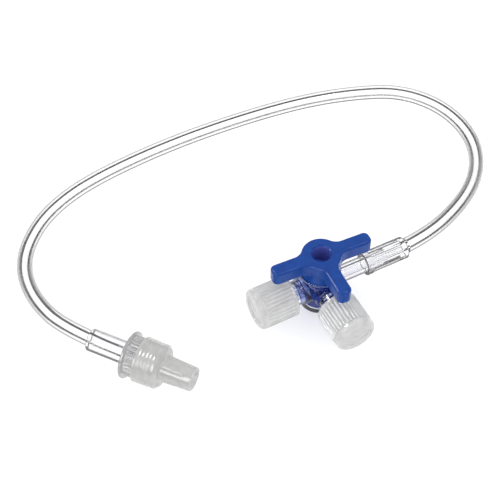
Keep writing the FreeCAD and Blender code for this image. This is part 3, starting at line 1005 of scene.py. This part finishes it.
@dataclass
class FarEnd(Fits):
    """Where the pieces at the tube's far end lie, and the sizes that they share."""

    x: float = -57.8
    y: float = 11.0
    heading: float = -52.1
    flange_radius: float = 6.0
    socket_radius: float = 2.88
    collar_start: float = 10.7
    collar_length: float = 8.5
    collar_back: float = 1.2

    @property
    def place(self) -> Matrix:
        """Where the far connector's own X axis lies."""
        turn = Matrix.Rotation(math.radians(self.heading), 4, "Z")
        return Matrix.Translation((self.x, self.y, self.flange_radius)) @ turn


@dataclass
class Connector(FarEnd):
    """The male luer connector: socket, neck, shoulder and cone."""

    throat_radius: float = 0.82
    socket_round: float = 0.55
    socket_depth: float = 8.0
    bead_rise: float = 0.14
    bead_width: float = 0.5
    shoulder_radius: float = 3.75
    shoulder_width: float = 1.1
    male_tip: float = 23.6
    male_tip_radius: float = 1.98
    painted_shade_spared_top: float = 0.35
    steps: int = 256

    def build(self, finishes: list[Material]) -> Object:
        """Builds the connector.

        Args:
            finishes: The materials of the skin, the faces bonded to the tube, and the channel beyond it.

        Returns:
            The connector.
        """
        front = self.collar_start + self.collar_back + self.bond_gap
        back = self.collar_start - self.bond_gap
        root = front + self.shoulder_width
        hole = self.tube_radius + self.bond_gap
        corners = [
            Corner(0, hole), Corner(0, self.socket_radius, self.socket_round),
            Corner(back - self.bead_width, self.socket_radius, FINE),
            Corner(back - self.bead_width / 2, self.socket_radius + self.bead_rise, FINE),
            Corner(back, self.socket_radius, CRISP), Corner(front, self.socket_radius),
            Corner(front, self.shoulder_radius, FINE), Corner(root, self.shoulder_radius, FINE),
            Corner(root, self.male_tip_radius + self.luer_slope * (self.male_tip - root), FINE),
            Corner(self.male_tip, self.male_tip_radius, FULL),
            Corner(self.male_tip, self.flow_radius, CRISP), Corner(front, self.flow_radius),
            Corner(back, self.throat_radius), Corner(self.socket_depth, self.throat_radius),
            Corner(self.socket_depth, hole),
        ]
        mesh = Turning(corners, self.steps).mesh("male_luer_connector", self.place)
        inward = (self.place.to_3x3() @ Vector((1, 0, 0))).normalized()
        mouth = Vector(self.place.translation)

        def finish_of(place: Vector) -> int:
            """Tells which finish a face has.

            Args:
                place: The face's centre.

            Returns:
                0 for the skin, 1 for the faces that are glued to the tube, 2 for the throat behind them.
            """
            arm = place - mouth
            along = arm.dot(inward)
            radius = (arm - inward * along).length
            if NEAR < along < self.socket_depth + self.bond_gap and radius < hole + self.bond_gap:
                return 1
            return 2 if self.socket_depth < along < front and radius < self.flow_radius else 0

        piece = shown("male_luer_socket_and_cone", mesh, Body.VALVE, Slot.CLEAR, finishes,
                      "male_luer_connector", finish_of)
        # Painted shade: the painted dark rims are spared on the connector's upper half, so its lower half
        # reads darker
        spared = mesh.attributes.new("painted_shade_spared", "FLOAT", "POINT")
        for vert, value in zip(mesh.vertices, spared.data):
            rise = (vert.co.z / MM - self.flange_radius) / self.socket_radius
            value.value = self.painted_shade_spared_top * bounded(2 * rise)
        return piece


@dataclass
class LockCollar(FarEnd):
    """The fluted lock collar with its flange and its inner thread."""

    flange_width: float = 0.75
    radius: float = 5.1
    bore: float = 4.1
    step: float = 0.1
    flutes: Flutes = Flutes(30, 0.42, 0.24, 0.1)
    flute_faces: int = 12
    thread: Thread = Thread(0.35)
    thread_inset: float = 0.5
    turn_gap: float = 0.06
    spacing: float = 0.2

    def build(self, finish: Material) -> Object:
        """Builds the collar.

        Args:
            finish: Its material.

        Returns:
            The collar.
        """
        hole = self.socket_radius + self.turn_gap
        end = self.collar_start + self.collar_length
        flange_end = self.collar_start + self.flange_width
        floor = self.collar_start + self.collar_back
        # The flutes run out through the open end, so they end beyond it
        grip = self.flutes.cut(flange_end + self.step, end + 1)
        screw = self.thread.cut(floor + self.thread_inset, end)
        corners = [
            Corner(self.collar_start, hole, CRISP), Corner(self.collar_start, self.flange_radius, FULL),
            Corner(flange_end, self.flange_radius, FULL), Corner(flange_end, self.radius, CRISP, grip),
            Corner(end, self.radius, MILD), Corner(end, self.bore, FINE, screw),
            Corner(floor, self.bore, MILD), Corner(floor, hole),
        ]
        turning = Turning(corners, self.flute_faces * self.flutes.count, self.spacing)
        return shown("lock_collar_threaded", turning.mesh("lock_collar", self.place), Body.COLLAR, Slot.CLEAR,
                     [finish], "lock_collar")


@dataclass
class LuerCap(FarEnd):
    """The stepped cap over the collar and the cone, with grip rings and a fluted nose."""

    start: float = 14.0
    end: float = 28.2
    bore: float = 5.2
    radius: float = 5.8
    draft: float = 0.22
    wall: float = 1.0
    chamfer: float = 0.8
    nose_root_radius: float = 3.4
    nose_tip_radius: float = 3.0
    nose_bore: float = 2.3
    ring_count: int = 5
    ring_pitch: float = 0.92
    ring_depth: float = 0.1
    ring_first: float = 0.75
    ring_curve: float = 1.5
    flutes: Flutes = Flutes(6, 0.75, 0.35, 0.8)
    nose_band: float = 1.7
    steps: int = 288
    spacing: float = 0.08

    def rings(self, along: float, _: float, __: float) -> float:
        """Gives the relief of the grooves between the skirt's grip rings.

        Args:
            along: The place along the axis.

        Returns:
            The change of radius.
        """
        place = (along - (self.start + self.ring_first)) / self.ring_pitch
        if place < -0.5 or place > self.ring_count - 0.5:
            return 0.0
        off = abs(place - round(place)) * 2
        return -self.ring_depth * (1 - off) ** self.ring_curve

    def build(self, finish: Material) -> Object:
        """Builds the cap.

        Args:
            finish: Its material.

        Returns:
            The cap.
        """
        inside = self.collar_start + self.collar_length + self.bond_gap
        shoulder = inside + self.wall
        skirt = self.radius - self.draft
        # The flutes run into the shoulder, so they start before it
        grip = self.flutes.cut(shoulder - 1, self.end - self.nose_band)
        corners = [
            Corner(self.start, self.bore, KEEN), Corner(self.start, self.radius, SLIGHT, self.rings),
            Corner(shoulder - self.chamfer, skirt, BROAD), Corner(shoulder, skirt - self.chamfer, BROAD),
            Corner(shoulder, self.nose_root_radius, FULL, grip),
            Corner(self.end, self.nose_tip_radius, FULL), Corner(self.end, self.nose_bore, MILD),
            Corner(inside, self.nose_bore, FINE), Corner(inside, self.bore, FINE),
        ]
        mesh = Turning(corners, self.steps, self.spacing).mesh("luer_cap", self.place)
        return shown("luer_cap_ringed", mesh, Body.END_CAP, Slot.FROSTED, [finish], "luer_cap")


@dataclass
class ExtensionTube:
    """The soft clear tube between the adapter and the far connector."""

    radius: float = 2.05
    bore: float = 0.8
    length: float = 256.9
    exit_along: float = 24.9
    near_insert: float = 5.85
    far_insert: float = 8.0
    height: float = 6.2
    steps: int = 64
    fineness: int = 20
    # How far the painted dark rims of the skin on top and of the bore below are spared: faces that point down
    # keep the full painted shade
    skin_spared: float = 0.35
    bore_spared: float = 0.3
    # The route's points, the same as the solid's
    route: tuple[tuple[float, float, float], ...] = (
        (19.05, 0.0, 6.2), (31.35, 0.0, 6.2), (48.5, 7.0, 4.6), (60.0, 16.5, 2.7), (66.0, 28.5, 2.05),
        (65.0, 42.0, 2.05), (57.5, 53.0, 2.05), (45.5, 58.5, 2.05), (30.5, 62.5, 2.05), (11.5, 64.5, 2.05),
        (-9.0, 65.0, 2.05), (-29.0, 63.5, 2.05), (-43.5, 60.5, 2.05), (-55.0, 54.5, 2.05),
        (-63.5, 44.0, 2.3), (-65.5, 30.5, 4.2), (-62.10, 16.52, 6.0), (-52.886, 4.687, 6.0),
    )

    def centreline(self) -> list[Vector]:
        """Lays one smooth curve along the route.

        Returns:
            Its points, in metres.
        """
        curve = bpy.data.curves.new("tube_route", "CURVE")
        curve.dimensions = "3D"
        curve.resolution_u = self.fineness
        spline = curve.splines.new("NURBS")
        spline.points.add(len(self.route) - 1)
        for point, place in zip(spline.points, self.route):
            point.co = (*(p * MM for p in place), 1.0)
        spline.order_u = 3
        spline.use_endpoint_u = True
        guide = placed("tube_route", curve)
        graph = bpy.context.evaluated_depsgraph_get()
        line = bpy.data.meshes.new_from_object(guide.evaluated_get(graph))
        points = [v.co.copy() for v in line.vertices]
        bpy.data.objects.remove(guide)
        bpy.data.meshes.remove(line)
        return points

    def mesh(self, points: list[Vector]) -> Mesh:
        """Builds the hollow tube along its centreline, closed at both ends.

        Args:
            points: The centreline, in metres.

        Returns:
            The tube's mesh; its bore has the second material and its glued faces in the sockets the third.
        """
        body = bmesh.new()
        painted_shade_spared = body.verts.layers.float.new("painted_shade_spared")
        heading = (points[1] - points[0]).normalized()
        side = heading.orthogonal().normalized()
        run = 0.0
        rings = []
        runs = []
        for i, point in enumerate(points):
            before = points[max(i - 1, 0)]
            after = points[min(i + 1, len(points) - 1)]
            heading = (after - before).normalized()
            side = (side - heading * side.dot(heading)).normalized()
            across = heading.cross(side)
            run += (point - before).length
            runs.append(run / MM)
            pair = []
            for radius, above, below in ((self.radius, self.skin_spared, 0.0),
                                         (self.bore, 0.0, self.bore_spared)):
                ring = []
                for k in range(self.steps):
                    angle = 2 * math.pi * k / self.steps
                    arm = side * math.cos(angle) + across * math.sin(angle)
                    vert = body.verts.new(point + arm * radius * MM)
                    # Painted shade: the spared share grows where the face, seen from the plastic, points up
                    vert[painted_shade_spared] = below + (above - below) * bounded(arm.z * 2 + 1)
                    ring.append(vert)
                pair.append(ring)
            rings.append(pair)
        around = [(k, (k + 1) % self.steps) for k in range(self.steps)]
        for i in range(len(rings) - 1):
            for which in (0, 1):
                buried = which == 0 and not self.near_insert < runs[i] < run / MM - self.far_insert
                one, other = rings[i][which], rings[i + 1][which]
                for k, after in around:
                    face = body.faces.new((one[k], one[after], other[after], other[k]))
                    face.material_index = 2 if buried else which
        for outer, inner in (rings[0], rings[-1]):
            for k, after in around:
                face = body.faces.new((outer[k], outer[after], inner[after], inner[k]))
                face.material_index = 2
        bmesh.ops.recalc_face_normals(body, faces=body.faces)
        mesh = bpy.data.meshes.new("extension_tube")
        body.to_mesh(mesh)
        body.free()
        return mesh

    def build(self, finishes: list[Material], carried: list[Object]) -> Object:
        """Args:
            finishes: The materials of its skin, its bore and its glued faces.
            carried: The pieces at its far end; not used.

        Returns:
            The tube.
        """
        points = self.centreline()
        tube = shown("extension_tube_clear", self.mesh(points), Body.VALVE, Slot.TUBE, finishes,
                     "extension_tube")
        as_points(points)
        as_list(carried)
        return tube


@dataclass(frozen=True)
class Lamp:
    """A square soft lamp that faces the stopcock: where it hangs, its width, and its power in watts."""

    title: str
    place: tuple[float, float, float]
    side: float
    power: float

    def hang(self) -> None:
        """Hangs the lamp, so that it shows only as a gleam on the skins."""
        light = bpy.data.lights.new(self.title, "AREA")
        light.size = self.side * MM
        light.energy = self.power
        lamp = placed(self.title, light)
        lamp.location = Vector(self.place) * MM
        lamp.rotation_euler = (-Vector(self.place)).to_track_quat("-Z", "Y").to_euler()
        lamp.visible_diffuse = False
        lamp.visible_transmission = False


@dataclass
class Studio:
    """White paper, a soft sky, three lamps and the camera at the photograph's angle."""

    floor_side: float = 1600.0
    floor_drop: float = 0.03
    lens: float = 88.36
    nearest: float = 10.0
    azimuth: float = -27.62
    elevation: float = 51.1
    distance: float = 313.8
    aim: tuple[float, float, float] = (-11.07, 16.48, 7.64)
    dome: float = 1.25
    mirrored: float = 1.05
    backdrop: float = 1.0
    shadow_band: float = 0.05
    band_top: float = 0.32
    white_from: float = 0.62
    lamps: tuple[Lamp, ...] = (
        Lamp("window", (-240.0, 240.0, 340.0), 160.0, 1.6),
        Lamp("side_window", (-380.0, -137.0, 260.0), 260.0, 1.7),
        Lamp("skylight", (140.0, -96.0, 446.0), 90.0, 0.25),
    )
    bounces: int = 24
    clear_layers: int = 32
    brightest_bounce: float = 2.0

    def floor(self) -> None:
        """Lays the paper."""
        half = self.floor_side / 2 * MM
        drop = -self.floor_drop * MM
        mesh = bpy.data.meshes.new("paper")
        mesh.from_pydata([(-half, -half, drop), (half, -half, drop), (half, half, drop), (-half, half, drop)],
                         [], [(0, 1, 2, 3)])
        mesh.materials.append(PAPER.material())
        placed("paper", mesh)

    def sky(self) -> None:
        """Makes the soft light: a white dome, which gloss and clear plastic see with a dark band low down."""
        world = bpy.data.worlds.new("studio")
        bpy.context.scene.world = world
        world.use_nodes = True
        tree = world.node_tree
        tree.nodes.clear()
        white = (1, 1, 1, 1)
        place = add_node(tree, "TexCoord")
        parts = add_node(tree, "SeparateXYZ", links={"Vector": place.outputs["Generated"]})
        ramp = add_node(tree, "ValToRGB", links={"Fac": parts.outputs["Z"]})
        stops = ramp.color_ramp.elements
        stops[0].position, stops[0].color = self.band_top, (self.shadow_band,) * 3 + (1,)
        stops[1].position, stops[1].color = self.white_from, white
        light = add_node(tree, "Background", {"Color": white, "Strength": self.dome})
        banded = add_node(tree, "Background", {"Strength": self.mirrored}, {"Color": ramp})
        plain = add_node(tree, "Background", {"Color": white, "Strength": self.backdrop})
        path = add_node(tree, "LightPath")
        sharp = add_node(tree, "Math", {"operation": "MAXIMUM"},
                         {0: path.outputs["Is Glossy Ray"], 1: path.outputs["Is Transmission Ray"]})
        soft = add_node(tree, "MixShader", links={0: sharp, 1: light, 2: banded})
        mix = add_node(tree, "MixShader", links={
            0: path.outputs["Is Camera Ray"], 1: soft, 2: plain})
        add_node(tree, "OutputWorld", links={"Surface": mix})

    def camera(self) -> None:
        """Stands the camera where the photograph was taken from."""
        turn = math.radians(self.azimuth)
        rise = math.radians(self.elevation)
        back = Vector((math.sin(turn) * math.cos(rise), -math.cos(turn) * math.cos(rise), math.sin(rise)))
        data = bpy.data.cameras.new("camera")
        data.lens = self.lens
        data.clip_start = self.nearest * MM
        camera = placed("camera", data)
        camera.location = (Vector(self.aim) + back * self.distance) * MM
        camera.rotation_euler = (-back).to_track_quat("-Z", "Y").to_euler()
        bpy.context.scene.camera = camera

    def build(self) -> None:
        """Builds the studio."""
        self.floor()
        self.sky()
        for lamp in self.lamps:
            lamp.hang()
        self.camera()
        scene = bpy.context.scene
        scene.view_settings.view_transform = "Standard"
        scene.cycles.transparent_max_bounces = self.clear_layers
        scene.cycles.transmission_bounces = self.bounces
        scene.cycles.max_bounces = self.bounces
        scene.cycles.sample_clamp_indirect = self.brightest_bounce


def main() -> None:
    """Builds the pieces in order."""
    logging.basicConfig(level=logging.INFO, format="%(name)s %(message)s")
    sleeve, seam, bore = SLEEVE.material(), BONDED.material(), TUBE_BORE.material()
    frosted = FROSTED_MOULDING.material()
    Studio().build()
    Housing().build([CLEAR_MOULDING.material(), seam, FOOT_WALL.material(), CORE_BLUE_PAINTED.material(),
                     CORE_WALL.material()])
    dress("tap_handle", BLUE_MOULDING.material())
    PortCap().build("inline_port_cap", Heading.INLINE, Body.INLINE_CAP, frosted)
    PortCap().build("side_port_cap", Heading.SIDE, Body.SIDE_CAP, frosted)
    Adapter().build([sleeve, seam])
    carried = [Connector().build([sleeve, seam, bore]), LockCollar().build(SATIN_CLEAR.material()),
               LuerCap().build(THICK_FROSTED.material())]
    ExtensionTube().build([TUBE_SKIN.material(), bore, seam], carried)
    bpy.context.view_layer.update()


if __name__ == "__main__":
    main()
